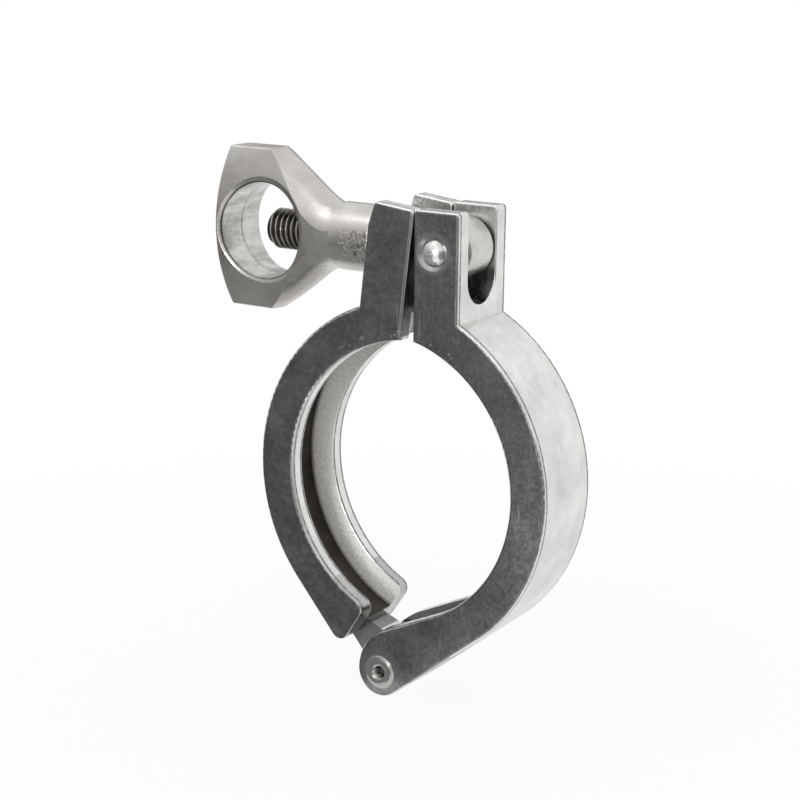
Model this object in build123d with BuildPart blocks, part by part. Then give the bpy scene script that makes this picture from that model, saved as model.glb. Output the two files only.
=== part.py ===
"""Sanitary hinged clamp, single pin, for the flanges of a 2 in pair of ferrules.

Two cast half rings turn on a tubular rivet. A swing bolt is pinned in the fork half's lug,
lies in the slots of both lugs, and carries a cast wing nut that draws the lugs together.
The model stands with its hinge down and its lugs up, closed with nothing in its groove, so
the lugs meet at their tips. The origin is the centre of the fork half's groove, +Y runs
along the pipe and -Y is the front.
"""
from build123d import *
from math import acos, asin, atan2, cos, degrees, hypot, radians, sin, sqrt, tan
import os

# ---- driving dimensions, in millimetres and degrees ----
ferrule_diameter = 64.0        # flange of the ferrules that the groove holds
ferrule_clearance = 0.9        # from the flange's rim to the groove's floor
ring_wall = 3.2                # from the groove's floor to the outside
ring_width = 17.4              # front face to rear face
lip_radius = 28.5              # opening inside the lips
lip_width = 3.2                # flat land of each lip, along the pipe
groove_angle = 20.0            # slope of the groove's sides, which wedges the flanges
edge_radius = 0.6              # rounding of the castings' outer edges

hinge_distance = 39.9          # hinge pin's axis to the centre of either half's groove
hinge_lean = 3.9               # how far the tongue half's lug leans out when it is on its ferrules
boss_radius = 5.1              # round end of both halves about the hinge pin
fork_head_gap = 2.05           # rounded shoulder of the fork's arms to the opening inside the lips
tongue_thickness = 6.0
tongue_root_depth = 1.3        # tongue's inner side, below the groove's floor where it leaves the rim
tongue_side_clearance = 0.2    # each side of the tongue in its fork
tongue_end_clearance = 0.5     # round end of the tongue to the end of the fork's slot
ring_end_angle = 254.4         # where the tongue half's rim stops short of the fork, at its lips
ring_end_slant = 3.1           # its outer corner lies this much further back
ring_end_radius = 2.1          # rounded corners of that end

lug_face = 6.7                 # flat inner face of a lug, from the centre of its half
lug_thickness = 9.8
lug_top = 52.6                 # top of a lug, above the centre of its half
lug_corner_radius = 0.8
lug_tip_gap = 0.1              # between the two lugs' tips when the clamp is closed and empty
bevel_height = 4.6             # bevel on the tongue half's lug, which the nut swings over
bevel_depth = 1.0
slot_width = 10.0              # slot for the swing bolt, through both lugs and open at the top
slot_floor = 34.8              # lowest point of the slot's round bottom
slot_edge_radius = 0.4

bolt_pin_inset = 5.75          # swing bolt's pin, from the lug's outer face
bolt_pin_depth = 7.8           # the same pin, below the lug's top
bolt_diameter = 8.0
bolt_length = 41.9             # pin's axis to the threaded end
bolt_end_chamfer = 0.8
eye_radius = 5.9
eye_side_clearance = 0.8       # each side of the eye in the fork half's slot
eye_edge_radius = 0.8

hinge_pin_diameter = 6.0
hinge_head_diameter = 6.9      # rolled end, which fills a countersink
hinge_countersink_depth = 0.45
hinge_head_height = 0.35
hinge_dimple_diameter = 2.6
hinge_dimple_depth = 1.2
bolt_pin_diameter = 5.0
bolt_pin_head_height = 0.55    # domed end, above the lug's side
bolt_pin_recess_diameter = 6.6 # shallow countersink round the dome
bolt_pin_recess_depth = 0.5
running_clearance = 0.05       # radial, where a piece turns on a pin or a thread
rivet_clearance = 0.02         # radial, where a rivet fills its hole

nut_seat_clearance = 0.1       # nut's end to the lug that it bears on
nut_length = 37.2              # from its seat to the far side of its wing
nut_barrel_radius = 6.6
nut_barrel_length = 9.5        # round part, before it flares into the wing
nut_seat_radius = 0.8          # rounding of the seat's rim
nut_height = 31.8              # across the wing's tips
wing_tip_width = 10.8          # flat ends of the wing, along the bolt
wing_side_radius = 80.0        # bowed far side of the wing
wing_thickness = 12.6          # at the bolt's axis
wing_tip_thickness = 6.0
wing_edge_radius = 0.6
flare_sections = (             # share of the flare's length, then height and depth over the barrel's
    (-0.1, 1.0, 1.0),
    (0.33, 1.28, 1.0),
    (0.58, 1.74, 1.08),
    (0.8, 2.1, 1.28),
    (1.0, 2.39, 1.7),
    (1.9, 3.5, 2.6),
)
wing_hole_radius = 9.0         # at the parting plane, half way through
wing_hole_rim_radius = 9.5     # at the front and rear faces
wing_hole_edge_radius = 0.4
wing_hole_rim = 1.6            # metal left between the hole and the wing's far side

# ---- sizes that follow ----
floor_radius = ferrule_diameter / 2 + ferrule_clearance
outer_radius = floor_radius + ring_wall
half_width = ring_width / 2
mouth_half = half_width - lip_width
floor_half = mouth_half - (floor_radius - lip_radius) * tan(radians(groove_angle))
lug_outer = lug_face + lug_thickness
tongue_half_thickness = tongue_thickness / 2
fork_slot_half = tongue_half_thickness + tongue_side_clearance

# the fork's arms end in a boss, under a larger shoulder that shares the boss's left side
shoulder_reach = lip_radius + fork_head_gap
fork_head_radius = (boss_radius**2 + hinge_distance**2 - shoulder_reach**2) / (2 * shoulder_reach + 2 * boss_radius)

hinge_z = -hinge_distance
hinge_point = Vector(0, 0, hinge_z)
hinge_offset = hinge_distance * sin(radians(hinge_lean))
hinge_depth = hinge_distance * cos(radians(hinge_lean))

# the tongue half leans about the hinge until its lug's tip meets the fork half's lug
tip_x = hinge_offset - lug_face
tip_z = hinge_depth + lug_top
tip_reach = hypot(tip_x, tip_z)
lean = asin((lug_face - lug_tip_gap) / tip_reach) - atan2(tip_x, tip_z)
tongue_x_dir = Vector(cos(lean), 0, -sin(lean))
tongue_z_dir = Vector(sin(lean), 0, cos(lean))
tongue_centre = hinge_point + tongue_x_dir * hinge_offset + tongue_z_dir * hinge_depth
tongue_side_plane = Plane(origin=tongue_centre, x_dir=tongue_x_dir, z_dir=(0, -1, 0))
tongue_radial_plane = Plane(origin=tongue_centre, x_dir=tongue_x_dir, z_dir=tongue_z_dir)

bolt_x = lug_outer - bolt_pin_inset
bolt_z = lug_top - bolt_pin_depth
bolt_point = Vector(bolt_x, 0, bolt_z)
bolt_radius = bolt_diameter / 2
eye_half_width = slot_width / 2 - eye_side_clearance

# the nut bears on the leaning lug at the lowest point of its seat beside the slot
seat_half_height = sqrt(nut_barrel_radius**2 - (slot_width / 2) ** 2)
lug_outer_from_hinge = lug_outer - hinge_offset
seat_z = bolt_z - seat_half_height - hinge_z
nut_seat_x = seat_z * tan(lean) - lug_outer_from_hinge / cos(lean) - nut_seat_clearance


def tangent_points(centre_a, radius_a, centre_b, radius_b, side, crossed=False):
    """Ends of the line that touches two circles, as 2-D points.

    side is 1 for the line on the left of the way from a to b, and -1 for the right.
    A crossed line passes between the circles, so it touches b on its other side.
    """
    dx, dy = centre_b[0] - centre_a[0], centre_b[1] - centre_a[1]
    radius_b = -radius_b if crossed else radius_b
    angle = atan2(dy, dx) + side * acos((radius_a - radius_b) / hypot(dx, dy))
    normal = (cos(angle), sin(angle))
    start = (centre_a[0] + radius_a * normal[0], centre_a[1] + radius_a * normal[1])
    end = (centre_b[0] + radius_b * normal[0], centre_b[1] + radius_b * normal[1])
    return start, end


def angle_of(point, centre=(0, 0)):
    """Direction of a point from a centre, in degrees from the X axis."""
    return degrees(atan2(point[1] - centre[1], point[0] - centre[0]))


def arc_between(centre, radius, start, end, clockwise):
    """Arc about a centre from one point to another, the stated way round."""
    first = angle_of(start, centre)
    sweep = (angle_of(end, centre) - first) % 360
    return CenterArc(centre, radius, first, sweep - 360 if clockwise else sweep)


def groove(radial_plane):
    """Cut the wedge-sided groove out of the half ring that is being built."""
    reach = lip_radius / 8
    past = reach * tan(radians(groove_angle))
    with BuildSketch(radial_plane) as profile:
        with BuildLine():
            Polyline(
                (lip_radius - reach, -mouth_half - past),
                (floor_radius, -floor_half),
                (floor_radius, floor_half),
                (lip_radius - reach, mouth_half + past),
                close=True,
            )
        make_face()
    revolve(profile.sketch, axis=Axis(radial_plane.origin, (0, 1, 0)), mode=Mode.SUBTRACT)


def bolt_slot(centre, outwards, upwards):
    """Cut the slot for the swing bolt, with its round bottom, through a lug."""
    radius = slot_width / 2
    lug_middle = centre + outwards * (lug_face + lug_thickness / 2)
    with BuildSketch(Plane(lug_middle, x_dir=upwards, z_dir=outwards)) as profile:
        SlotCenterPoint((2 * lug_top - slot_floor - radius, 0), (slot_floor + radius, 0), slot_width)
    extrude(profile.sketch, amount=lug_thickness, both=True, mode=Mode.SUBTRACT)
    faces_at = (lug_face, lug_outer)
    rims = edges(Select.LAST).filter_by(
        lambda edge: min(abs((edge @ 0.5 - centre).dot(outwards) - at) for at in faces_at) < 0.01
    )
    fillet(rims, slot_edge_radius)


def rivet_hole(centre, diameter, recess_diameter, recess_depth):
    """Drill through the fork half along the pipe, and countersink both ends."""
    radius = diameter / 2 + rivet_clearance
    recess = recess_diameter / 2 + rivet_clearance
    with BuildSketch(Plane(centre, x_dir=(1, 0, 0), z_dir=(0, 0, 1))) as profile:
        with BuildLine():
            Polyline(
                (0, -half_width),
                (recess, -half_width),
                (radius, recess_depth - half_width),
                (radius, half_width - recess_depth),
                (recess, half_width),
                (0, half_width),
                close=True,
            )
        make_face()
    revolve(profile.sketch, axis=Axis(centre, (0, 1, 0)), mode=Mode.SUBTRACT)


# ---- fork half: right-hand casting, with the hinge's fork below and the bolt's lug above ----
hinge_2d = (0, hinge_z)
head_centre = (fork_head_radius - boss_radius, hinge_z)
outer_start, outer_end = tangent_points((0, 0), outer_radius, hinge_2d, boss_radius, 1)
inner_start, inner_end = tangent_points((0, 0), lip_radius, head_centre, fork_head_radius, 1, True)
shoulder = (lug_outer, sqrt(outer_radius**2 - lug_outer**2))
lip_corner = (lug_face, sqrt(lip_radius**2 - lug_face**2))
boss_side = (-boss_radius, hinge_z)

with BuildPart() as fork_half:
    with BuildSketch(Plane.XZ):
        with BuildLine():
            Polyline(lip_corner, (lug_face, lug_top), (lug_outer, lug_top), shoulder)
            arc_between((0, 0), outer_radius, shoulder, outer_start, clockwise=True)
            Line(outer_start, outer_end)
            arc_between(hinge_2d, boss_radius, outer_end, boss_side, clockwise=True)
            arc_between(head_centre, fork_head_radius, boss_side, inner_end, clockwise=True)
            Line(inner_end, inner_start)
            arc_between((0, 0), lip_radius, inner_start, lip_corner, clockwise=False)
        make_face()
        fillet(vertices().group_by(Axis.Y)[-1], lug_corner_radius)
    extrude(amount=half_width, both=True)
    fillet(faces().filter_by(Axis.Y).edges(), edge_radius)
    groove(Plane.XY)
    bolt_slot(Vector(0, 0, 0), Vector(1, 0, 0), Vector(0, 0, 1))
    # slot for the tongue, open to the left of the hinge pin
    slot_reach = fork_head_radius + boss_radius
    with BuildSketch(Plane.XZ):
        with Locations(hinge_2d):
            Circle(boss_radius + tongue_end_clearance)
            Rectangle(slot_reach, 2 * slot_reach, align=(Align.MAX, Align.CENTER))
    extrude(amount=fork_slot_half, both=True, mode=Mode.SUBTRACT)
    rivet_hole(hinge_point, hinge_pin_diameter, hinge_head_diameter, hinge_countersink_depth)
    rivet_hole(bolt_point, bolt_pin_diameter, bolt_pin_recess_diameter, bolt_pin_recess_depth)

# ---- tongue half: left-hand casting, whose thin tongue turns between the fork's arms ----
hinge_local = (-hinge_offset, -hinge_depth)
rim_start, rim_end = tangent_points((0, 0), outer_radius, hinge_local, boss_radius, -1)
shoulder = (-lug_outer, sqrt(outer_radius**2 - lug_outer**2))
lip_corner = (-lug_face, sqrt(lip_radius**2 - lug_face**2))
lip_end = (lip_radius * cos(radians(ring_end_angle)), lip_radius * sin(radians(ring_end_angle)))
# the rim's outer corner is where its slanted end meets the straight outer side
corner_angle = ring_end_angle - ring_end_slant
corner_reach = outer_radius / cos(radians(corner_angle - angle_of(rim_start)))
rim_corner = (corner_reach * cos(radians(corner_angle)), corner_reach * sin(radians(corner_angle)))
root_radius = floor_radius + tongue_root_depth
neck_root = (root_radius * cos(radians(corner_angle)), root_radius * sin(radians(corner_angle)))
neck_end = tangent_points(neck_root, 0, hinge_local, boss_radius, -1, True)[1]

with BuildPart() as tongue_half:
    with BuildSketch(tongue_side_plane):
        with BuildLine():
            Polyline(
                lip_corner,
                (-lug_face, lug_top),
                (bevel_depth - lug_outer, lug_top),
                (-lug_outer, lug_top - bevel_height),
                shoulder,
            )
            arc_between((0, 0), outer_radius, shoulder, rim_start, clockwise=False)
            Polyline(rim_start, rim_corner, lip_end)
            arc_between((0, 0), lip_radius, lip_end, lip_corner, clockwise=True)
        make_face()
        fillet(vertices().group_by(Axis.Y)[-1], lug_corner_radius)
        fillet(vertices().sort_by_distance(rim_corner)[0], ring_end_radius)
        fillet(vertices().sort_by_distance(lip_end)[0], ring_end_radius)
    extrude(amount=half_width, both=True)
    fillet(faces().filter_by(Axis.Y).edges(), edge_radius)
    groove(tongue_radial_plane)
    bolt_slot(tongue_centre, -tongue_x_dir, tongue_z_dir)
    # tongue about the hinge pin, rooted in the rim
    with BuildSketch(tongue_side_plane):
        with BuildLine():
            Polyline(neck_root, rim_start, rim_end)
            arc_between(hinge_local, boss_radius, rim_end, neck_end, clockwise=False)
            Line(neck_end, neck_root)
        make_face()
    extrude(amount=tongue_half_thickness, both=True)
    with BuildSketch(Plane.XZ):
        with Locations(hinge_2d):
            Circle(hinge_pin_diameter / 2 + running_clearance)
    extrude(amount=half_width, both=True, mode=Mode.SUBTRACT)

# ---- hinge pin: tubular rivet, rolled over into a countersink at both ends ----
with BuildPart() as hinge_pin:
    with BuildSketch(Plane(hinge_point, x_dir=(1, 0, 0), z_dir=(0, 0, 1))):
        with BuildLine():
            crown = half_width + hinge_head_height
            lip = (hinge_dimple_diameter + hinge_head_diameter) / 4
            Polyline(
                (0, 0),
                (hinge_pin_diameter / 2, 0),
                (hinge_pin_diameter / 2, half_width - hinge_countersink_depth),
                (hinge_head_diameter / 2, half_width),
            )
            ThreePointArc(
                (hinge_head_diameter / 2, half_width),
                (lip, crown),
                (hinge_dimple_diameter / 2, half_width),
            )
            Polyline(
                (hinge_dimple_diameter / 2, half_width),
                (hinge_dimple_diameter / 4, half_width - hinge_dimple_depth),
                (0, half_width - hinge_dimple_depth),
                (0, 0),
            )
        make_face()
    revolve(axis=Axis(hinge_point, (0, 1, 0)))
    mirror(about=Plane.XZ)

# ---- bolt pin: solid rivet with domed ends, through the fork half's lug and the bolt's eye ----
bolt_pin_radius = bolt_pin_diameter / 2
dome_base = half_width - bolt_pin_recess_depth
dome_top = half_width + bolt_pin_head_height
with BuildPart() as bolt_pin:
    with BuildSketch(Plane(bolt_point, x_dir=(1, 0, 0), z_dir=(0, 0, 1))):
        with BuildLine():
            Polyline((0, dome_top), (0, 0), (bolt_pin_radius, 0), (bolt_pin_radius, dome_base))
            TangentArc((0, dome_top), (bolt_pin_radius, dome_base), tangent=(1, 0))
        make_face()
    revolve(axis=Axis(bolt_point, (0, 1, 0)))
    mirror(about=Plane.XZ)

# ---- swing bolt: turned eye with flat sides, and a threaded shank ----
with BuildPart() as swing_bolt:
    with BuildSketch(Plane(bolt_point, x_dir=(1, 0, 0), z_dir=(0, -1, 0))):
        Circle(eye_radius)
    extrude(amount=eye_half_width, both=True)
    fillet(edges().filter_by(GeomType.CIRCLE), eye_edge_radius)
    with BuildSketch(Plane(bolt_point, x_dir=(0, 1, 0), z_dir=(-1, 0, 0))):
        Circle(bolt_radius)
    extrude(amount=bolt_length)
    chamfer(edges().filter_by(GeomType.CIRCLE).sort_by(Axis.X)[0], bolt_end_chamfer)
    with BuildSketch(Plane(bolt_point, x_dir=(1, 0, 0), z_dir=(0, -1, 0))):
        Circle(bolt_pin_diameter / 2 + running_clearance)
    extrude(amount=slot_width, both=True, mode=Mode.SUBTRACT)

# ---- wing nut: casting whose barrel flares into a thick wing with one large round hole ----
nut_far_x = nut_seat_x - nut_length
wing_tip_x = nut_far_x + wing_side_radius - sqrt(wing_side_radius**2 - (nut_height / 2) ** 2)
hole_x = nut_far_x + wing_hole_rim + wing_hole_rim_radius
hole_point = Vector(hole_x, 0, bolt_z)
hole_slope = (wing_hole_rim_radius - wing_hole_radius) / (wing_thickness / 2)
hole_reach = wing_thickness
nut_axis_plane = Plane((nut_seat_x, 0, bolt_z), x_dir=(0, 1, 0), z_dir=(-1, 0, 0))
flare_length = nut_seat_x - wing_tip_x - wing_tip_width - nut_barrel_length

with BuildPart() as wing_nut:
    # wing's outline, with flat tips and a bowed far side
    with BuildSketch(Plane((0, 0, bolt_z), x_dir=(1, 0, 0), z_dir=(0, -1, 0))):
        with BuildLine():
            Polyline(
                (wing_tip_x, -nut_height / 2),
                (nut_seat_x, -nut_height / 2),
                (nut_seat_x, nut_height / 2),
                (wing_tip_x, nut_height / 2),
            )
            ThreePointArc((wing_tip_x, nut_height / 2), (nut_far_x, 0), (wing_tip_x, -nut_height / 2))
        make_face()
    extrude(amount=wing_thickness, both=True)
    # its front and rear faces, which curve in towards the tips
    with BuildSketch(nut_axis_plane):
        with BuildLine():
            front = ThreePointArc(
                (-wing_tip_thickness / 2, -nut_height / 2),
                (-wing_thickness / 2, 0),
                (-wing_tip_thickness / 2, nut_height / 2),
            )
            rear = ThreePointArc(
                (wing_tip_thickness / 2, -nut_height / 2),
                (wing_thickness / 2, 0),
                (wing_tip_thickness / 2, nut_height / 2),
            )
            Line(front @ 0, rear @ 0)
            Line(front @ 1, rear @ 1)
        make_face()
    extrude(amount=nut_length + wing_edge_radius, mode=Mode.INTERSECT)
    fillet(edges().filter_by(lambda edge: edge.center().X < nut_seat_x - wing_edge_radius), wing_edge_radius)
    # flare: oval sections that open out from the barrel, and past the wing's tips
    for share, height, depth in flare_sections:
        with BuildSketch(nut_axis_plane.offset(nut_barrel_length + share * flare_length)):
            with BuildLine():
                section = (nut_barrel_radius * depth, nut_barrel_radius * height)
                EllipticalCenterArc((0, 0), *section, start_angle=0, arc_size=180)
                EllipticalCenterArc((0, 0), *section, start_angle=180, arc_size=180)
            make_face()
    loft(mode=Mode.INTERSECT)
    # barrel, with its round seat
    with BuildSketch(nut_axis_plane):
        Circle(nut_barrel_radius)
    extrude(amount=nut_barrel_length)
    fillet(edges().sort_by(Axis.X)[-1], nut_seat_radius)
    with BuildSketch(Plane(hole_point, x_dir=(1, 0, 0), z_dir=(0, 0, 1))):
        with BuildLine():
            Polyline(
                (0, -hole_reach),
                (wing_hole_radius + hole_slope * hole_reach, -hole_reach),
                (wing_hole_radius, 0),
                (wing_hole_radius + hole_slope * hole_reach, hole_reach),
                (0, hole_reach),
                close=True,
            )
        make_face()
    revolve(axis=Axis(hole_point, (0, 1, 0)), mode=Mode.SUBTRACT)
    hole_rims = edges(Select.LAST).filter_by(lambda edge: abs((edge @ 0.5).Y) > wing_tip_thickness / 2)
    fillet(hole_rims, wing_hole_edge_radius)
    with BuildSketch(nut_axis_plane):
        Circle(bolt_radius + running_clearance)
    extrude(amount=nut_seat_x - hole_x, mode=Mode.SUBTRACT)

fork_half.part.label = "fork_half"
tongue_half.part.label = "tongue_half"
hinge_pin.part.label = "hinge_pin"
bolt_pin.part.label = "bolt_pin"
swing_bolt.part.label = "swing_bolt"
wing_nut.part.label = "wing_nut"

os.makedirs("parts", exist_ok=True)
export_step(fork_half.part, "parts/fork_half.step")
export_step(tongue_half.part, "parts/tongue_half.step")
export_step(hinge_pin.part, "parts/hinge_pin.step")
export_step(bolt_pin.part, "parts/bolt_pin.step")
export_step(swing_bolt.part, "parts/swing_bolt.step")
export_step(wing_nut.part, "parts/wing_nut.step")
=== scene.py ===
from math import cos, pi, radians, sin

import bpy
import numpy as np
from mathutils import Matrix, Vector


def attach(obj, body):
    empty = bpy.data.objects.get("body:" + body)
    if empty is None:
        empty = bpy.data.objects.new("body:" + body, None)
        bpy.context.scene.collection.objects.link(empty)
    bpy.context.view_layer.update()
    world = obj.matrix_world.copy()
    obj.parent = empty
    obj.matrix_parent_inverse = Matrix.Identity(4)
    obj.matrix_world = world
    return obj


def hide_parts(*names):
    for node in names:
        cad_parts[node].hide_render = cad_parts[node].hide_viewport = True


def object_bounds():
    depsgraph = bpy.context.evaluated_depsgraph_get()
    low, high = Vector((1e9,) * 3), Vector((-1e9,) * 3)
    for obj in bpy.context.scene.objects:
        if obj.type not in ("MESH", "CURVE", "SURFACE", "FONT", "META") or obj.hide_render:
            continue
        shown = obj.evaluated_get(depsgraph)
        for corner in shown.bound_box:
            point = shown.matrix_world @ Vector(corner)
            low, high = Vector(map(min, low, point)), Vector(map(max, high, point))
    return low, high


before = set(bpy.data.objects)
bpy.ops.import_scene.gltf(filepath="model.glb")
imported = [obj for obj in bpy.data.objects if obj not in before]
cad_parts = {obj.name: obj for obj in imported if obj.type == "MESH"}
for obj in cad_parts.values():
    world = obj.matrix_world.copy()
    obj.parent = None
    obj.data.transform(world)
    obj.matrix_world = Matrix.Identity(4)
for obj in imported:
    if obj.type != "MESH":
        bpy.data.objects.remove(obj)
cad_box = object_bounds()


# ---- Fork half ----
# The right-hand casting, in stainless steel. Its front and rear are ground flat and left with a
# dull satin, its edges and outside are tumbled bright, and its groove keeps the cast skin.

def metal(name):
    """A new metal material: its node tree, its shader and its Object coordinates."""
    material = bpy.data.materials.new(name)
    material.use_nodes = True
    tree = material.node_tree
    shader = tree.nodes["Principled BSDF"]
    shader.inputs["Metallic"].default_value = 1.0
    place = tree.nodes.new("ShaderNodeTexCoord").outputs["Object"]
    return material, tree, shader, place


def moved(tree, place, offset=(0.0, 0.0, 0.0), turn=(0.0, 0.0, 0.0), stretch=(1.0, 1.0, 1.0)):
    """The coordinates after they are scaled, then turned, then shifted."""
    node = tree.nodes.new("ShaderNodeMapping")
    node.inputs["Location"].default_value = offset
    node.inputs["Rotation"].default_value = turn
    node.inputs["Scale"].default_value = stretch
    tree.links.new(place, node.inputs["Vector"])
    return node.outputs["Vector"]


def noise(tree, place, size, detail=3.0, rough=0.5):
    """Cloudy noise from 0 to 1, whose lumps are about the given size in metres."""
    node = tree.nodes.new("ShaderNodeTexNoise")
    node.inputs["Scale"].default_value = 1.0 / size
    node.inputs["Detail"].default_value = detail
    node.inputs["Roughness"].default_value = rough
    tree.links.new(place, node.inputs["Vector"])
    return node.outputs["Fac"]


def sums(tree, kind, first, second=None):
    """One step of arithmetic on a number from the pattern and another number or link."""
    node = tree.nodes.new("ShaderNodeMath")
    node.operation = kind
    tree.links.new(first, node.inputs[0])
    if isinstance(second, (int, float)):
        node.inputs[1].default_value = second
    elif second is not None:
        tree.links.new(second, node.inputs[1])
    return node.outputs[0]


def times(tree, *factors):
    """The product of two or more links, the last of which may be a number."""
    product = factors[0]
    for factor in factors[1:]:
        product = sums(tree, "MULTIPLY", product, factor)
    return product


def most(tree, *values):
    """The largest of two or more links."""
    largest = values[0]
    for value in values[1:]:
        largest = sums(tree, "MAXIMUM", largest, value)
    return largest


def step(tree, value, low, high, start=0.0, end=1.0):
    """Smooth step: start below low, end above high."""
    node = tree.nodes.new("ShaderNodeMapRange")
    node.interpolation_type = "SMOOTHSTEP"
    node.inputs["From Min"].default_value = low
    node.inputs["From Max"].default_value = high
    node.inputs["To Min"].default_value = start
    node.inputs["To Max"].default_value = end
    tree.links.new(value, node.inputs["Value"])
    return node.outputs["Result"]


def tint(tree, value, *stops):
    """A colour for each value, from stops of (value, red, green, blue) in linear light."""
    node = tree.nodes.new("ShaderNodeValToRGB")
    ramp = node.color_ramp
    while len(ramp.elements) < len(stops):
        ramp.elements.new(0.5)
    for element, (at, *colour) in zip(ramp.elements, stops):
        element.position = at
        element.color = (*colour, 1.0)
    tree.links.new(value, node.inputs["Fac"])
    return node.outputs["Color"]


def mixed(tree, share, first, second, kind="RGBA"):
    """first where share is 0, second where it is 1."""
    node = tree.nodes.new("ShaderNodeMix")
    node.data_type = kind
    ports = {"RGBA": (6, 7, 2), "VECTOR": (4, 5, 1), "FLOAT": (2, 3, 0)}
    first_port, second_port, result_port = ports[kind]
    tree.links.new(share, node.inputs[0])
    tree.links.new(first, node.inputs[first_port])
    tree.links.new(second, node.inputs[second_port])
    return node.outputs[result_port]


def relief(tree, height, depth, below=None):
    """Bumps of the given depth in metres, on top of other bumps."""
    node = tree.nodes.new("ShaderNodeBump")
    node.inputs["Strength"].default_value = 1.0
    node.inputs["Distance"].default_value = depth
    tree.links.new(height, node.inputs["Height"])
    if below is not None:
        tree.links.new(below, node.inputs["Normal"])
    return node.outputs["Normal"]


def own_place(tree, place, centre, lean):
    """Coordinates in a half's own frame, from its ring's centre and along its own lug."""
    turn = Matrix.Rotation(-lean, 3, "Y")
    return moved(tree, place, offset=-(turn @ Vector(centre)), turn=(0.0, -lean, 0.0))


def parts(tree, place):
    """The three coordinates as separate numbers."""
    node = tree.nodes.new("ShaderNodeSeparateXYZ")
    tree.links.new(place, node.inputs[0])
    return node.outputs


def length_of(tree, vector):
    """The length of a vector."""
    node = tree.nodes.new("ShaderNodeVectorMath")
    node.operation = "LENGTH"
    tree.links.new(vector, node.inputs[0])
    return node.outputs["Value"]


def reach_from(tree, place, centre):
    """Distance from an axis that runs through centre, along the pipe."""
    offset = (-centre[0], 0.0, -centre[2])
    return length_of(tree, moved(tree, place, offset=offset, stretch=(1.0, 0.0, 1.0)))


def within(tree, value, low, high, soft):
    """1 between low and high, and 0 outside them, with soft ends."""
    rise = step(tree, value, low - soft, low)
    fall = step(tree, value, high, high + soft, 1.0, 0.0)
    return times(tree, rise, fall)


face_edge = 0.0087             # the ground faces lie this far from the middle, front and rear
edge_round = 0.0006            # rounding between a face and a side
groove_edge = 0.0055           # the groove's sides start this far from the middle, at the lips
groove_bed = 0.0039            # its floor's half width
lip_reach = 0.0285             # radius of the opening inside the lips
ring_reach = 0.0361            # radius of the casting's outside
lug_inside = 0.0067            # inner side of the lug, from the ring's centre
lug_outside = 0.0165           # its outer side
slot_half = 0.0050             # half the slot for the bolt
slot_dark = 0.0375             # up to here, from the ring's centre, the slot's dirt is full
slot_clean = 0.042             # and it has gone here
tongue_side = 0.0032           # half the width of the tongue and of its slot
hinge_axis = (0.0, 0.0, -0.0399)
bolt_axis = (0.01075, 0.0, 0.0448)
recess_reach = 0.0033          # radius of the recess round a rivet's head

cloud_size = 0.007             # of the noise patterns, in metres
grain_size = 0.0009
fine_size = 0.0004
belt_size = 0.0014
scratch_size = 0.0007
fleck_size = 0.0008
cloud_depth = 0.0001           # of the bumps
belt_depth = 0.00001
skin_depth = 0.00005

ground_greys = ((0.36, 0.12, 0.12, 0.125), (0.5, 0.2, 0.2, 0.205), (0.64, 0.33, 0.325, 0.32))
rubbed_greys = ((0.3, 0.5, 0.5, 0.49), (0.7, 0.66, 0.66, 0.65))
outside_greys = ((0.32, 0.58, 0.58, 0.57), (0.5, 0.72, 0.72, 0.705), (0.66, 0.83, 0.83, 0.81))
# pale tone of the scoured tongue, made paler still as painted light against its shade
scoured_and_lit_greys = ((0.3, 0.8, 0.79, 0.77), (0.7, 0.98, 0.97, 0.95))
wall_greys = ((0.3, 0.58, 0.57, 0.55), (0.65, 0.86, 0.85, 0.82))
# the groove floor's brown cast skin, darkened further as painted shade
bed_shade_browns = ((0.3, 0.03, 0.026, 0.023), (0.7, 0.08, 0.07, 0.062))
# dark grey of the edge lines, and of the painted shade in the lugs' gap, the slot and the rivet's
# recess
lines_and_shade_greys = ((0.3, 0.04, 0.039, 0.038), (0.7, 0.11, 0.108, 0.104))


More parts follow.
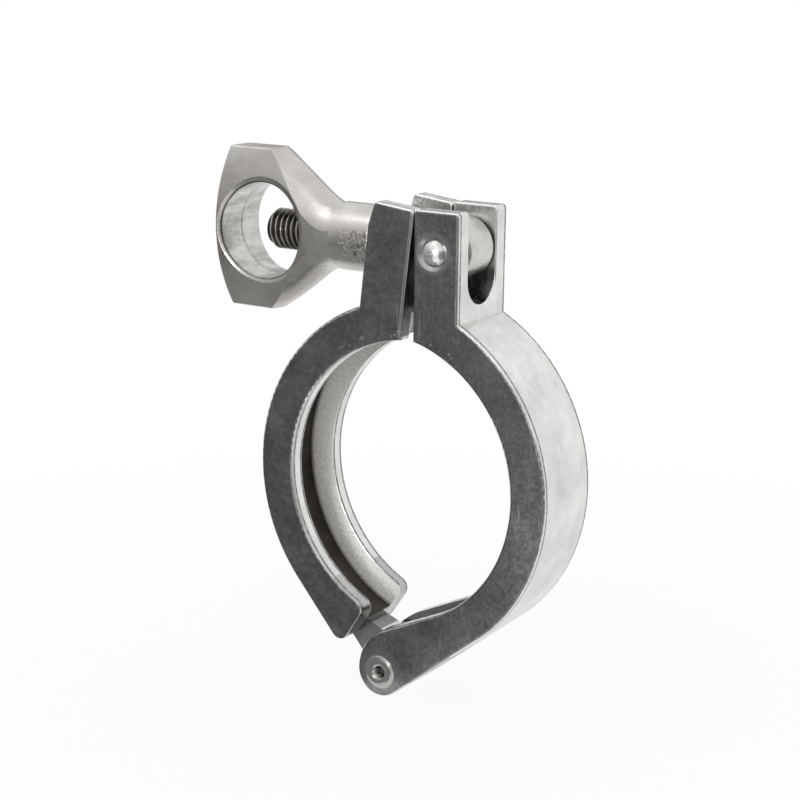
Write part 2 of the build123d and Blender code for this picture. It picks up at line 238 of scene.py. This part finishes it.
def casting(name, centre, lean, bare_reach, groove_shade, seed):
    """Finish of a half ring, by place: ground faces, bright outside, dull cast groove.

    The faces are where |y| is near its most, and the groove is where |y| is small and the
    distance from the ring's axis lies between the lips and the outside. A dark line runs
    along each rounded edge, and painted shade lies in the gap of the lugs, in the slot, in the
    recess round the bolt's rivet and on the groove's floor. Within bare_reach of the hinge the
    tongue is scoured pale, and painted paler still as painted light against its shade, and
    groove_shade darkens the groove there with painted shade.
    """
    material, tree, shader, place = metal(name)
    local = own_place(tree, place, centre, lean)
    patch = moved(tree, place, offset=(seed, seed, seed))
    across, along, up = parts(tree, local)
    side = sums(tree, "ABSOLUTE", along)
    out = sums(tree, "ABSOLUTE", across)
    reach = reach_from(tree, local, (0.0, 0.0, 0.0))

    clouds = noise(tree, patch, cloud_size, detail=5.0, rough=0.6)
    grain = noise(tree, patch, grain_size, detail=4.0, rough=0.7)
    fine = noise(tree, patch, fine_size, detail=2.0)
    belt_way = moved(tree, patch, turn=(0.0, 0.5, 0.0), stretch=(1.0, 1.0, 0.1))
    drawn = noise(tree, belt_way, belt_size, detail=5.0)
    scratch_way = moved(tree, patch, turn=(0.0, -0.9, 0.0), stretch=(1.0, 1.0, 0.06))
    crossed = noise(tree, scratch_way, scratch_size)

    # ground faces: dull and mottled, with bright scratches and flecks, rubbed lighter by the rivets
    ragged = sums(tree, "SUBTRACT", side, times(tree, grain, 0.00004))
    face = step(tree, ragged, face_edge - 0.0002, face_edge - 0.00008)
    mottle = sums(tree, "ADD", times(tree, grain, 0.55), times(tree, clouds, 0.45))
    scratch = times(tree, step(tree, crossed, 0.66, 0.74), 0.5)
    from_hinge = reach_from(tree, place, hinge_axis)
    from_bolt = reach_from(tree, place, bolt_axis)
    near_hinge = times(tree, step(tree, from_hinge, recess_reach, 0.0062, 1.0, 0.0), 0.22)
    near_bolt = times(tree, step(tree, from_bolt, recess_reach, 0.0045, 1.0, 0.0), 0.3)
    fleck = times(tree,
                  step(tree, noise(tree, patch, fleck_size, detail=3.0), 0.62, 0.68, 0.0, 0.8),
                  within(tree, reach, lip_reach, lip_reach + 0.0016, 0.0012),
                  step(tree, up, 0.018, 0.026))
    bright = most(tree, scratch, fleck, near_hinge, near_bolt)
    ground_tone = tint(tree, mottle, *ground_greys)
    face_tone = mixed(tree, bright, ground_tone, tint(tree, fine, *rubbed_greys))

    # outside: tumbled bright, with cloudy stains drawn out along the polishing belt
    stain = sums(tree, "ADD", times(tree, drawn, 0.3), times(tree, clouds, 0.7))
    # the tongue near the hinge: scoured pale, and paler still as painted light against its shade
    tongue = times(tree,
                   step(tree, side, tongue_side, tongue_side + 0.0003, 0.9, 0.0),
                   step(tree, from_hinge, bare_reach - 0.0004, bare_reach, 1.0, 0.0))
    tumbled_tone = tint(tree, stain, *outside_greys)
    out_tone = mixed(tree, tongue, tumbled_tone, tint(tree, grain, *scoured_and_lit_greys))

    # groove: cast skin, paler on its sloped sides; painted shade on its floor and near the hinge
    bed = step(tree, side, groove_bed - 0.0001, groove_bed + 0.0003, 1.0, 0.0)
    shaded = most(tree, bed, step(tree, from_hinge, 0.021, 0.027, groove_shade, 0.0))
    wall_tone = tint(tree, fine, *wall_greys)
    groove_tone = mixed(tree, shaded, wall_tone, tint(tree, clouds, *bed_shade_browns))
    in_groove = times(tree,
                      step(tree, side, groove_edge - 0.00012, groove_edge - 0.00002, 1.0, 0.0),
                      within(tree, reach, lip_reach + 0.0003, ring_reach - 0.0028, 0.0002))

    # dark line along the edges and lips
    edge_low = face_edge - edge_round
    edge_line = within(tree, side, edge_low - 0.0003, edge_low, 0.00015)
    lip_line = times(tree,
                     within(tree, side, groove_edge + 0.0001, groove_edge + 0.0005, 0.0001),
                     step(tree, reach, lip_reach + 0.0002, lip_reach + 0.0003, 1.0, 0.0))
    line = times(tree, most(tree, edge_line, lip_line), step(tree, grain, 0.3, 0.6, 0.45, 0.9))

    # painted shade in the gap of the lugs, in the bolt's slot and in the recess round the bolt's
    # rivet. The slot's has no lower end, so it also greys what lies below the slot, as far down as
    # the hinge.
    gap = times(tree,
                step(tree, out, lug_inside + 0.00004, lug_inside + 0.0001, 1.0, 0.0),
                step(tree, up, lip_reach - 0.0005, lip_reach),
                step(tree, side, edge_low, edge_low + 0.0002, 0.9, 0.0))
    slot = times(tree,
                 step(tree, side, slot_half - 0.0016, slot_half - 0.0002, 0.65, 0.4),
                 step(tree, up, slot_dark, slot_clean, 1.0, 0.0),
                 within(tree, out, lug_inside + 0.0002, lug_outside - 0.0006, 0.0003))
    recess = times(tree,
                   step(tree, from_bolt, recess_reach, 0.0034, 0.5, 0.0),
                   step(tree, side, face_edge - 0.0006, face_edge - 0.0005))
    lines_and_shade = most(tree, line, gap, slot, recess)

    # the edge lines and the painted shade in the gap, slot and recess share one dark grey
    skin_tone = mixed(tree, lines_and_shade, out_tone, tint(tree, grain, *lines_and_shade_greys))
    body_tone = mixed(tree, in_groove, skin_tone, groove_tone)
    tree.links.new(mixed(tree, face, body_tone, face_tone), shader.inputs["Base Color"])

    belt_rough = step(tree, drawn, 0.3, 0.7, 0.2, 0.34)
    tongue_rough = step(tree, fine, 0.3, 0.7, 0.55, 0.7)
    groove_rough = step(tree, fine, 0.3, 0.7, 0.4, 0.55)
    face_rough = step(tree, mottle, 0.35, 0.65, 0.42, 0.3)
    out_rough = mixed(tree, tongue, belt_rough, tongue_rough, "FLOAT")
    body_rough = mixed(tree, in_groove, out_rough, groove_rough, "FLOAT")
    tree.links.new(mixed(tree, face, body_rough, face_rough, "FLOAT"), shader.inputs["Roughness"])

    coarse = relief(tree, clouds, cloud_depth)
    rubbed = relief(tree, drawn, belt_depth, coarse)
    rough_skin = relief(tree, grain, skin_depth, coarse)
    skinned = most(tree, in_groove, face)
    tree.links.new(mixed(tree, skinned, rubbed, rough_skin, "VECTOR"), shader.inputs["Normal"])
    return material


def refinish(node, material):
    """Give a CAD solid its finish."""
    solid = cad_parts[node]
    solid.data.materials.clear()
    solid.data.materials.append(material)


refinish("fork_half", casting(
    "fork_casting", centre=(0.0, 0.0, 0.0), lean=0.0,
    bare_reach=0.0059, groove_shade=0.8, seed=0.0))

# ---- Tongue half ----
# The left-hand casting, with the same finish as the fork half. It leans on the hinge, so the
# centre of its groove is beside the fork half's, and its groove gets no painted shade near the
# hinge.

refinish("tongue_half", casting(
    "tongue_casting", centre=(0.007245, 0.0, -0.000664), lean=radians(6.562),
    bare_reach=0.0096, groove_shade=0.0, seed=0.37))

# ---- Hinge pin ----
# A tubular rivet of softer steel, rolled over into a countersink at both ends. Its rim is
# burnished by the rolling tool, and its hole is left dull and painted dark, as painted shade.

speck_size = 0.0009
speck_depth = 0.00008
ring_spacing = 0.0005          # between the fine turning rings
ring_depth = 0.000004
wander = 0.0006                # how far the colour's edge wanders from a true circle


def turned(name, axis, inner_reach, outer_reach, inner, outer):
    """Finish of a turned end: a colour by distance from its axis, with fine turning rings."""
    material, tree, shader, place = metal(name)
    reach = reach_from(tree, place, axis)
    speck = noise(tree, place, speck_size, detail=4.0)
    uneven = sums(tree, "ADD", reach, times(tree, speck, wander))
    share = step(tree, uneven, inner_reach, outer_reach)
    tree.links.new(tint(tree, share, (0.0, *inner), (1.0, *outer)), shader.inputs["Base Color"])
    tree.links.new(step(tree, speck, 0.3, 0.7, 0.16, 0.28), shader.inputs["Roughness"])
    rings = relief(tree, sums(tree, "SINE", times(tree, reach, 2 * pi / ring_spacing)), ring_depth)
    tree.links.new(relief(tree, speck, speck_depth, rings), shader.inputs["Normal"])
    return material


# the dark grey within the hole is painted shade
refinish("hinge_pin", turned(
    "rolled_rivet", hinge_axis, inner_reach=0.0010, outer_reach=0.0016,
    inner=(0.2, 0.195, 0.19), outer=(0.46, 0.45, 0.435)))

# ---- Bolt pin ----
# A solid rivet with domed ends, which the swing bolt's eye turns on. The dome's middle is painted
# bright, as a painted highlight, and the dome sits in a shallow countersink.

# the bright middle of the dome is a painted highlight
refinish("bolt_pin", turned(
    "domed_rivet", bolt_axis, inner_reach=0.0018, outer_reach=0.0029,
    inner=(0.88, 0.87, 0.85), outer=(0.5, 0.49, 0.48)))

# ---- Swing bolt ----
# A turned steel eye bolt. The eye is a barrel with rounded rims, bored for its pin, and the
# shank carries a right-hand M8 thread, cut from a plain neck to a chamfered end.

eye_reach = 0.0059             # outside of the eye at its middle
eye_belly = 0.0001             # how far the outside bulges
eye_bore = 0.00256
bore_chamfer = 0.0003
eye_side = 0.0042              # half its width
eye_round = 0.0008             # its rims' rounding
shank_reach = 0.0040
shank_start = 0.0028           # from the pin's axis, inside the eye's wall
shank_end = 0.0419
thread_pitch = 0.00125
thread_depth = 0.00068
flank_rise = 1.35              # steepens the wave, so that its crests and roots are flat
root_flat = 0.15
neck_length = 0.0085           # plain part next to the eye, from the pin's axis
end_chamfer = 0.0008

grime_size = 0.0012
grime_depth = 0.00004
thread_greys = ((0.0, 0.07, 0.062, 0.058), (0.7, 0.2, 0.185, 0.175), (1.0, 0.42, 0.4, 0.38))
eye_cloud_size = 0.003
eye_cloud_depth = 0.00005
eye_greys = ((0.3, 0.5, 0.49, 0.47), (0.7, 0.68, 0.67, 0.65))


def shell(name, points, wrap_rows):
    """Closed mesh over a grid of points: rows x columns x 3, whose columns run right round.

    The rows join up into a ring too where wrap_rows is true, and otherwise the first and the
    last row are each closed by one flat face.
    """
    rows, columns = points.shape[:2]
    index = np.arange(rows * columns).reshape(rows, columns)
    lower = index if wrap_rows else index[:-1]
    upper = np.roll(index, -1, axis=0) if wrap_rows else index[1:]
    corners = [lower, np.roll(lower, -1, axis=1), np.roll(upper, -1, axis=1), upper]
    faces = np.stack(corners, axis=-1).reshape(-1, 4).tolist()
    if not wrap_rows:
        faces += [index[0][::-1].tolist(), index[-1].tolist()]
    mesh = bpy.data.meshes.new(name)
    mesh.from_pydata(points.reshape(-1, 3).tolist(), [], faces)
    mesh.update()
    piece = bpy.data.objects.new(name, mesh)
    bpy.context.scene.collection.objects.link(piece)
    return piece


def smooth(piece, crease=40.0):
    """Smooth shading, with edges sharper than the crease, in degrees, kept."""
    piece.data.shade_smooth()
    piece.data.set_sharp_from_angle(angle=radians(crease))


def eye_ring(around):
    """The eye as a section carried round the pin's axis.

    The section is a rounded rectangle from the bore to the outside, whose outer side bulges
    by eye_belly, less its square share of the way to the rims. Each point of it is (distance
    from the axis, place along the axis).
    """
    quarter = np.linspace(0.0, pi / 2, 7)
    far = eye_reach - eye_belly - eye_round
    half = eye_side - eye_round
    rim = np.stack([far + eye_round * np.cos(quarter), half + eye_round * np.sin(quarter)], 1)
    share = np.linspace(-1.0, 1.0, 13)[1:-1]
    bulge = np.stack([eye_reach - eye_belly * share**2, share * half], 1)
    bore = np.array([[eye_bore + bore_chamfer, eye_side], [eye_bore, eye_side - bore_chamfer]])
    outline = np.concatenate([bulge, rim, bore, bore[::-1] * (1, -1), rim[::-1] * (1, -1)])
    angle = np.linspace(0.0, 2 * pi, around, endpoint=False)[:, None]
    return np.stack([
        bolt_axis[0] + outline[:, 0] * np.cos(angle),
        np.broadcast_to(outline[:, 1], (around, len(outline))),
        bolt_axis[2] + outline[:, 0] * np.sin(angle),
    ], axis=-1)


def threaded_shank(around, per_turn):
    """The shank as rings along the bolt, whose radius dips along a helix.

    Radius = crest - depth x clamped triangle wave of (distance / pitch - angle / full turn),
    faded in after the plain neck, and held under a 45 degree cone at the end.
    """
    rings = int((shank_end - shank_start) / thread_pitch * per_turn)
    along = np.linspace(shank_start, shank_end - end_chamfer, rings)
    along = np.concatenate([along, [shank_end]])[:, None]
    angle = np.linspace(0.0, 2 * pi, around, endpoint=False)[None, :]
    phase = (along / thread_pitch - angle / (2 * pi)) % 1.0
    wave = np.clip((1.0 - np.abs(2.0 * phase - 1.0)) * flank_rise - root_flat, 0.0, 1.0)
    fade = np.clip((along - neck_length) / (2 * thread_pitch), 0.0, 1.0)
    cone = shank_reach - end_chamfer + (shank_end - along)
    radius = np.minimum(shank_reach - thread_depth * wave * fade, cone)
    return np.stack([
        np.broadcast_to(bolt_axis[0] - along, radius.shape),
        radius * np.cos(angle),
        bolt_axis[2] - radius * np.sin(angle),
    ], axis=-1)


eye = shell("bolt_eye", eye_ring(72), True)
smooth(eye)
shank = shell("bolt_shank", threaded_shank(56, 12), False)
smooth(shank, 60.0)

# the thread is dark in its roots, where grime stays, and worn bright on its crests
material, tree, shader, place = metal("bolt_thread")
local = moved(tree, place, offset=(0.0, 0.0, -bolt_axis[2]))
from_axis = length_of(tree, moved(tree, local, stretch=(0.0, 1.0, 1.0)))
grime = noise(tree, local, grime_size, detail=4.0)
crest = sums(tree, "SUBTRACT", from_axis, times(tree, grime, 0.0002))
worn = step(tree, crest, shank_reach - 0.0006, shank_reach - 0.00012)
tree.links.new(tint(tree, worn, *thread_greys), shader.inputs["Base Color"])
tree.links.new(step(tree, grime, 0.3, 0.7, 0.24, 0.4), shader.inputs["Roughness"])
tree.links.new(relief(tree, grime, grime_depth), shader.inputs["Normal"])
shank.data.materials.append(material)

material, tree, shader, place = metal("bolt_eye_steel")
clouds = noise(tree, place, eye_cloud_size, detail=4.0)
tree.links.new(tint(tree, clouds, *eye_greys), shader.inputs["Base Color"])
tree.links.new(step(tree, clouds, 0.3, 0.7, 0.24, 0.36), shader.inputs["Roughness"])
tree.links.new(relief(tree, clouds, eye_cloud_depth), shader.inputs["Normal"])
eye.data.materials.append(material)

for piece in (eye, shank):
    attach(piece, "bolt")
    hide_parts("swing_bolt")

# ---- Wing nut ----
# An investment casting, tumbled until it shines, whose barrel flares into a thick wing with one
# large hole. A faint parting line runs round the hole's wall, and small pits are left near
# the seat.

seat_x = -0.00473
hole_axis = (-0.03083, 0.0, 0.0448)
hole_reach = 0.0097

nut_cloud_size = 0.008
brush_size = 0.0012
streak_size = 0.0016
nut_grain_size = 0.0005
pit_size = 0.001
edge_roll = 0.00045            # depth of the rolled edge round the hole
lump_depth = 0.00012
nut_grain_depth = 0.00001
seam_depth = 0.0001
pit_depth = 0.0002

nut_greys = ((0.3, 0.46, 0.44, 0.415), (0.5, 0.55, 0.53, 0.505), (0.7, 0.63, 0.615, 0.59))
# painted highlight on the barrel's rim at the seat
seat_highlight_greys = ((0.3, 0.9, 0.9, 0.88), (0.7, 0.98, 0.98, 0.96))
pit_browns = ((0.35, 0.05, 0.048, 0.045), (0.6, 0.5, 0.47, 0.4))
hole_greys = ((0.3, 0.36, 0.36, 0.34), (0.5, 0.55, 0.55, 0.53), (0.7, 0.7, 0.7, 0.68))
rim_greys = ((0.3, 0.1, 0.098, 0.095), (0.7, 0.2, 0.195, 0.19))

material, tree, shader, place = metal("polished_casting")
across, along, up = parts(tree, place)
from_hole = reach_from(tree, place, hole_axis)
clouds = noise(tree, place, nut_cloud_size, detail=4.0, rough=0.55)
brushed = noise(tree, moved(tree, place, stretch=(0.15, 1.0, 1.0)), brush_size, detail=5.0)
streaks = noise(tree, moved(tree, place, stretch=(1.0, 0.25, 1.0)), streak_size, detail=5.0)
grain = noise(tree, place, nut_grain_size, detail=3.0)

in_hole = step(tree, from_hole, hole_reach - 0.00015, hole_reach, 1.0, 0.0)
rim = within(tree, from_hole, hole_reach - 0.00018, hole_reach - 0.00002, 0.00008)
# a painted highlight along the barrel's rim next to the seat
seat_highlight = step(tree, across, seat_x - 0.0009, seat_x - 0.0003)
near_seat = sums(tree, "ADD", across, times(tree, clouds, 0.006))
pitted = times(tree,
               step(tree, noise(tree, place, pit_size, detail=3.0), 0.5, 0.56),
               step(tree, near_seat, seat_x - 0.005, seat_x + 0.0005),
               within(tree, up, hole_axis[2] - 0.003, hole_axis[2] + 0.001, 0.0015))

tone = mixed(tree, seat_highlight, tint(tree, clouds, *nut_greys), tint(tree, brushed, *seat_highlight_greys))
tone = mixed(tree, pitted, tone, tint(tree, grain, *pit_browns))
tone = mixed(tree, in_hole, tone, tint(tree, streaks, *hole_greys))
tone = mixed(tree, rim, tone, tint(tree, streaks, *rim_greys))
tree.links.new(tone, shader.inputs["Base Color"])
tree.links.new(step(tree, brushed, 0.3, 0.7, 0.22, 0.34), shader.inputs["Roughness"])

edge = step(tree, from_hole, hole_reach - 0.0001, hole_reach + 0.0009)
seam = times(tree, step(tree, sums(tree, "ABSOLUTE", along), 0.00012, 0.00035, 1.0, 0.0), in_hole)
rolled = relief(tree, edge, edge_roll)
lumps = relief(tree, clouds, lump_depth, rolled)
skin = relief(tree, grain, nut_grain_depth, lumps)
seamed = relief(tree, seam, seam_depth, skin)
dents = times(tree, pitted, -1.0)
tree.links.new(relief(tree, dents, pit_depth, seamed), shader.inputs["Normal"])
refinish("wing_nut", material)

# ---- Studio ----
# A pale floor that the clamp stands on, a plain bright surround, and two soft lamps. Grey
# screens and mats stand round it, where only the metal shows them, as its dark reflections.

floor_top = cad_box[0][2]
sector_steps = 24
screen_rise = 0.5              # height over which a screen's grey changes
floor_share = (0.92, 1.0)      # of the floor's white that is its own, near the clamp and far off
surround_light = (0.7, 1.0)    # as soft light, and as the camera and the metal see it


def sector(name, start, end, near, far, low, high):
    """A sheet carried round the clamp from one direction to the other, in degrees.

    Its inner edge is near at the height low, and its outer edge is far at the height high, so
    it is a flat mat where the heights are the same, and a screen where the distances are.
    """
    turn = np.radians(np.linspace(start, end, sector_steps + 1))[:, None]
    share = np.array([[0.0, 1.0]])
    distance = near + (far - near) * share
    height = floor_top + low + (high - low) * share + 0.0 * turn
    points = np.stack([distance * np.sin(turn), -distance * np.cos(turn), height], axis=-1)
    index = np.arange(0, 2 * sector_steps, 2)
    faces = np.stack([index, index + 1, index + 3, index + 2], axis=-1)
    mesh = bpy.data.meshes.new(name)
    mesh.from_pydata(points.reshape(-1, 3).tolist(), [], faces.tolist())
    sheet = bpy.data.objects.new(name, mesh)
    bpy.context.scene.collection.objects.link(sheet)
    return sheet


def bare_material(name):
    """A new material with nothing in it but its output: its tree and where its surface goes."""
    material = bpy.data.materials.new(name)
    material.use_nodes = True
    tree = material.node_tree
    tree.nodes.clear()
    return material, tree, tree.nodes.new("ShaderNodeOutputMaterial").inputs["Surface"]


def seen_directly(tree):
    """1 for what the camera sees, straight or in metal or glass, and 0 for soft light."""
    path = tree.nodes.new("ShaderNodeLightPath")
    kinds = ("Is Camera Ray", "Is Glossy Ray", "Is Transmission Ray")
    return most(tree, *(path.outputs[kind] for kind in kinds))


floor = sector("floor", 0.0, 360.0, 0.0, 3.0, 0.0, 0.0)
material, tree, surface = bare_material("pale_floor")
matt = tree.nodes.new("ShaderNodeBsdfDiffuse")
matt.inputs["Color"].default_value = (0.9, 0.9, 0.9, 1.0)
glow = tree.nodes.new("ShaderNodeEmission")
glow.inputs["Color"].default_value = (1.0, 1.0, 1.0, 1.0)
tree.links.new(seen_directly(tree), glow.inputs["Strength"])
place = tree.nodes.new("ShaderNodeTexCoord").outputs["Object"]
away = reach_from(tree, moved(tree, place, turn=(pi / 2, 0.0, 0.0)), (0.0, 0.0, 0.0))
both = tree.nodes.new("ShaderNodeMixShader")
tree.links.new(step(tree, away, 0.03, 0.25, *floor_share), both.inputs["Fac"])
tree.links.new(matt.outputs[0], both.inputs[1])
tree.links.new(glow.outputs[0], both.inputs[2])
tree.links.new(both.outputs[0], surface)
floor.data.materials.append(material)

# for each, the sector's sizes, then its grey at the floor and at the top of screen_rise
screens = {
    "near_mat": ((-26.0, 8.0, 0.012, 0.072, 0.002, 0.002), (0.3, 0.3)),
    "left_mat": ((-88.0, -12.0, 0.012, 0.21, 0.001, 0.001), (0.32, 0.32)),
    "wing_mat": ((-88.0, -12.0, 0.21, 0.3, 0.001, 0.001), (0.12, 0.12)),
    "far_mat": ((-88.0, -12.0, 0.3, 0.6, 0.001, 0.001), (0.34, 0.34)),
    "left_screen": ((-88.0, -12.0, 0.6, 0.6, 0.001, 0.5), (0.3, 0.85)),
    "right_mat": ((22.0, 75.0, 0.12, 0.6, 0.001, 0.001), (0.26, 0.26)),
    "right_screen": ((22.0, 75.0, 0.6, 0.6, 0.001, 0.25), (0.26, 0.7)),
    "rear_screen": ((-172.0, -120.0, 0.6, 0.6, 0.1, 0.3), (0.35, 0.5)),
}
for name, (span, greys) in screens.items():
    screen = sector(name, *span)
    for ray in ("camera", "diffuse", "transmission", "volume_scatter", "shadow"):
        setattr(screen, "visible_" + ray, False)
    material, tree, surface = bare_material(name)
    height = parts(tree, tree.nodes.new("ShaderNodeTexCoord").outputs["Object"])["Z"]
    grey = step(tree, height, floor_top, floor_top + screen_rise, *greys)
    glow = tree.nodes.new("ShaderNodeEmission")
    tree.links.new(grey, glow.inputs["Strength"])
    tree.links.new(glow.outputs[0], surface)
    screen.data.materials.append(material)

world = bpy.data.worlds.new("surround")
bpy.context.scene.world = world
world.use_nodes = True
tree = world.node_tree
background = tree.nodes["Background"]
background.inputs["Color"].default_value = (1.0, 1.0, 1.0, 1.0)
level = tree.nodes.new("ShaderNodeMapRange")
level.inputs["To Min"].default_value, level.inputs["To Max"].default_value = surround_light
tree.links.new(seen_directly(tree), level.inputs["Value"])
tree.links.new(level.outputs["Result"], background.inputs["Strength"])


def softbox(name, place, width, power):
    """A square area lamp that faces the clamp."""
    lamp = bpy.data.lights.new(name, "AREA")
    lamp.size = width
    lamp.energy = power
    holder = bpy.data.objects.new(name, lamp)
    holder.location = place
    holder.rotation_euler = Vector(place).to_track_quat("Z", "Y").to_euler()
    bpy.context.scene.collection.objects.link(holder)


softbox("key_lamp", (-0.25, -0.3, 0.9), 0.6, 1.3)
softbox("front_lamp", (0.02, -0.7, 0.12), 0.12, 0.5)

# ---- Camera ----
# A long lens a little above the clamp, and to its right.

camera_round = radians(32.92)
camera_up = radians(15.77)
camera_roll = radians(0.72)
camera_distance = 0.3744
aim = Vector((0.0, -0.000613, 0.0))

backwards = Vector((
    sin(camera_round) * cos(camera_up), -cos(camera_round) * cos(camera_up), sin(camera_up)))
level_right = Vector((cos(camera_round), sin(camera_round), 0.0))
level_up = backwards.cross(level_right)
right = cos(camera_roll) * level_right + sin(camera_roll) * level_up
up = cos(camera_roll) * level_up - sin(camera_roll) * level_right
camera = bpy.data.objects.new("camera", bpy.data.cameras.new("camera"))
camera.data.sensor_width = 36.0
camera.data.lens = 85.83
camera.data.shift_x = -0.0048
camera.data.shift_y = 0.0871
axes = Matrix((right, up, backwards)).transposed().to_4x4()
camera.matrix_world = Matrix.Translation(aim + backwards * camera_distance) @ axes
bpy.context.scene.collection.objects.link(camera)
bpy.context.scene.camera = camera
bpy.context.scene.view_settings.view_transform = "Standard"
